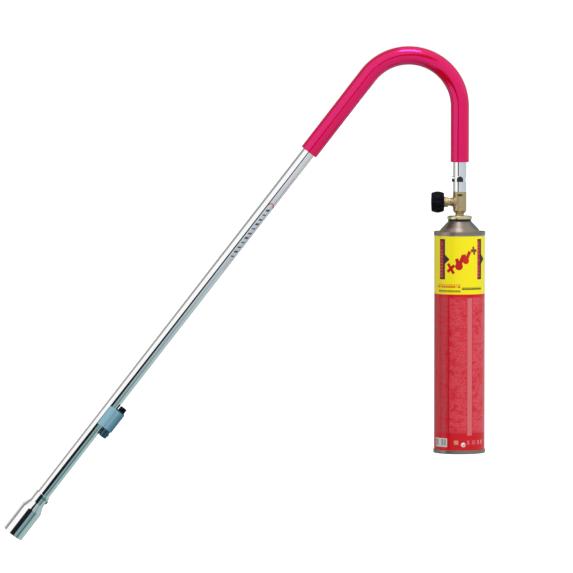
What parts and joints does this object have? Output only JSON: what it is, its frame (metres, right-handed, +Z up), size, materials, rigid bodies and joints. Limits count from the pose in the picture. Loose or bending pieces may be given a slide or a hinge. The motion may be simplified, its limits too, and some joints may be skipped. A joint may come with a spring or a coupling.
{
  "type": "gas torch",
  "caption": "Long bent gas torch: chrome lance with a flared burner, sleeved hook grip, knob valve, clip-on piezo igniter and a screw-on gas cartridge.",
  "frame": {"origin": "the top of the hook's centreline, where a hand holds the torch", "axes": "+Z up; the lance runs down towards -X and the cartridge hangs at +X; the object lies in the XZ plane"},
  "size_m": [0.6187, 0.0668, 0.6348],
  "materials": {
    "chrome_tube": "polished chrome plating",
    "grip_vinyl": "glossy soft vinyl",
    "burner_chrome": "polished chrome plating",
    "brass": "satin cast and turned brass",
    "knob_black": "glossy moulded plastic",
    "steel": "plain bright steel",
    "spring_steel": "drawn wire",
    "can_print": "printed and varnished tinplate",
    "can_lacquer": "lacquered tinplate",
    "cup_gold": "gold lacquered tinplate",
    "clip_blue": "translucent moulded plastic",
    "housing_blue": "glossy moulded plastic",
    "inner_plastic": "natural moulded plastic",
    "seal_rubber": "matt nitrile rubber",
    "ceramic": "glazed ceramic",
    "lead_silicone": "soft silicone"
  },
  "bodies": {
    "torch": {"lance_tube": "chrome_tube", "grip_sleeve": "grip_vinyl", "burner_head": "burner_chrome", "flame_holder": "brass", "head_screw": "steel", "electrode_insulator": "ceramic", "electrode_rod": "steel", "igniter_housing": "housing_blue", "igniter_clip": "clip_blue", "igniter_screw": "steel", "button_spring": "spring_steel", "hammer_spring": "spring_steel", "hammer_guide": "inner_plastic", "anvil": "brass", "piezo_crystal": "ceramic", "contact_plate": "brass", "ignition_lead": "lead_silicone", "lead_grommet": "seal_rubber", "valve_body": "brass", "jet": "brass", "jet_filter": "brass", "inlet_seal": "seal_rubber", "inlet_pin": "steel", "gland_nut": "brass", "gland_packing": "seal_rubber"},
    "spindle_carrier": {"spindle_oring": "seal_rubber"},
    "knob": {"spindle": "steel", "knob": "knob_black", "knob_screw": "steel", "knob_cap": "knob_black"},
    "cartridge_carrier": {"cup_gasket": "seal_rubber"},
    "cartridge": {"can_body": "can_print", "can_dome": "can_lacquer", "can_base": "can_lacquer", "valve_cup": "cup_gold", "threaded_neck": "brass", "stem_gasket": "seal_rubber", "valve_well": "inner_plastic", "stem_spring": "spring_steel"},
    "stem": {"valve_stem": "inner_plastic"},
    "button": {"igniter_button": "knob_black"},
    "hammer": {"hammer": "steel"}
  },
  "joints": [
    {"name": "spindle_travel", "type": "slide", "parent": "torch", "child": "spindle_carrier", "axis": [-1, 0, 0], "range_m": [0, 0.00132]},
    {"name": "knob_turn", "type": "hinge", "parent": "spindle_carrier", "child": "knob", "pos_m": [0.0655, 0, -0.1876], "axis": [-1, 0, 0], "range_deg": [0, 630]},
    {"name": "cartridge_draw", "type": "slide", "parent": "torch", "child": "cartridge_carrier", "axis": [0, 0, -1], "range_m": [0, 0.0075]},
    {"name": "cartridge_turn", "type": "hinge", "parent": "cartridge_carrier", "child": "cartridge", "pos_m": [0.0655, 0, -0.5093], "axis": [0, 0, -1], "range_deg": [0, 2970]},
    {"name": "stem_rise", "type": "slide", "parent": "cartridge", "child": "stem", "axis": [0, 0, 1], "range_m": [0, 0.00151], "deforming": ["stem_spring"]},
    {"name": "igniter_press", "type": "slide", "parent": "torch", "child": "button", "axis": [-0.6129, 0, -0.7902], "range_m": [0, 0.005], "stiffness_N_per_m": 1500, "springref_m": -0.002, "deforming": ["button_spring", "hammer_spring"]},
    {"name": "hammer_strike", "type": "slide", "parent": "torch", "child": "hammer", "axis": [-0.6129, 0, -0.7902], "range_m": [0, 0.0038], "stiffness_N_per_m": 300, "springref_m": -0.002}
  ],
  "couplings": [
    {"joint": "spindle_travel", "follows": "knob_turn", "m_per_rad": 0.00011937},
    {"joint": "cartridge_draw", "follows": "cartridge_turn", "m_per_rad": 0.00014435},
    {"joint": "stem_rise", "follows": "cartridge_turn", "m_per_rad": 0.000028937}
  ]
}
